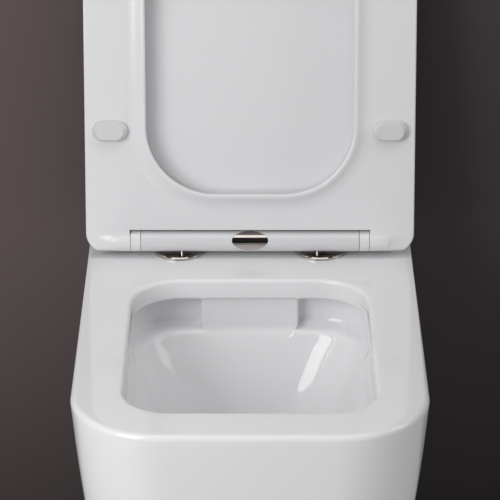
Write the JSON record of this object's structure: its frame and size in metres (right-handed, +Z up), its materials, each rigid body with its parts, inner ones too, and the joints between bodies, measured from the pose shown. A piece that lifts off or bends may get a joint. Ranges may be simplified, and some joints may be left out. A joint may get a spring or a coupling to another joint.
{
  "type": "wall hung toilet",
  "caption": "Rimless wall hung toilet pan with soft-close seat and lid on a quick release hinge bar and concealed wall brackets.",
  "frame": {"origin": "midway between the two wall bolt holes, on the wall plane", "axes": "+Z up, +Y into the wall, the pan reaches out along -Y, +X to the right of someone who faces the wall"},
  "size_m": [0.358, 0.5296, 0.7713],
  "materials": {
    "glazed_ceramic": "clear gloss glaze on white vitreous china",
    "seat_white": "gloss white moulded urea",
    "bumper_white": "satin white soft plastic",
    "polished_chrome": "mirror polished",
    "mechanism_plastic": "plain moulded",
    "steel": "plain bright steel",
    "bracket_steel": "zinc plated, dull",
    "grey_rubber": "matt",
    "nut_brass": "turned",
    "fitting_white": "satin white"
  },
  "bodies": {
    "pan": {"pan": "glazed_ceramic", "bowl": "glazed_ceramic", "trapway": "glazed_ceramic", "flush_inlet": "glazed_ceramic", "hinge_bar": "seat_white", "damper_left": "mechanism_plastic", "damper_right": "mechanism_plastic", "slider_spring_left": "steel", "slider_spring_right": "steel", "post_plate_left": "polished_chrome", "post_plate_right": "polished_chrome", "post_pin_left": "polished_chrome", "post_pin_right": "polished_chrome", "post_gaskets": "grey_rubber", "post_bolts": "steel", "expansion_plugs": "grey_rubber", "plug_nuts": "nut_brass", "wall_bracket_left": "bracket_steel", "wall_bracket_right": "bracket_steel", "wall_washers": "steel", "wall_nuts": "steel", "side_bushes": "fitting_white", "side_screws": "steel", "side_caps": "fitting_white"},
    "lid": {"lid": "seat_white", "lid_bumpers": "bumper_white", "hinge_shaft_right": "steel"},
    "seat": {"seat_ring": "seat_white", "seat_bumpers": "bumper_white", "hinge_shaft_left": "steel"},
    "button": {"release_button": "polished_chrome"},
    "slider_left": {"release_slider_left": "mechanism_plastic"},
    "slider_right": {"release_slider_right": "mechanism_plastic"}
  },
  "joints": [
    {"name": "lid_hinge", "type": "hinge", "parent": "pan", "child": "lid", "pos_m": [0, -0.118, 0.0983], "axis": [1, 0, 0], "range_deg": [0, 100]},
    {"name": "seat_hinge", "type": "hinge", "parent": "pan", "child": "seat", "pos_m": [0, -0.118, 0.0983], "axis": [1, 0, 0], "range_deg": [0, 100]},
    {"name": "button_press", "type": "slide", "parent": "pan", "child": "button", "axis": [0, 0.9063, -0.4226], "range_m": [0, 0.003], "stiffness_N_per_m": 900, "springref_m": -0.002},
    {"name": "slider_left_slide", "type": "slide", "parent": "pan", "child": "slider_left", "axis": [-1, 0, 0], "range_m": [0, 0.003], "deforming": ["slider_spring_left"]},
    {"name": "slider_right_slide", "type": "slide", "parent": "pan", "child": "slider_right", "axis": [1, 0, 0], "range_m": [0, 0.003], "deforming": ["slider_spring_right"]}
  ],
  "couplings": [
    {"joint": "seat_hinge", "follows": "lid_hinge", "ratio": 1},
    {"joint": "slider_left_slide", "follows": "button_press", "ratio": 1},
    {"joint": "slider_right_slide", "follows": "button_press", "ratio": 1}
  ]
}
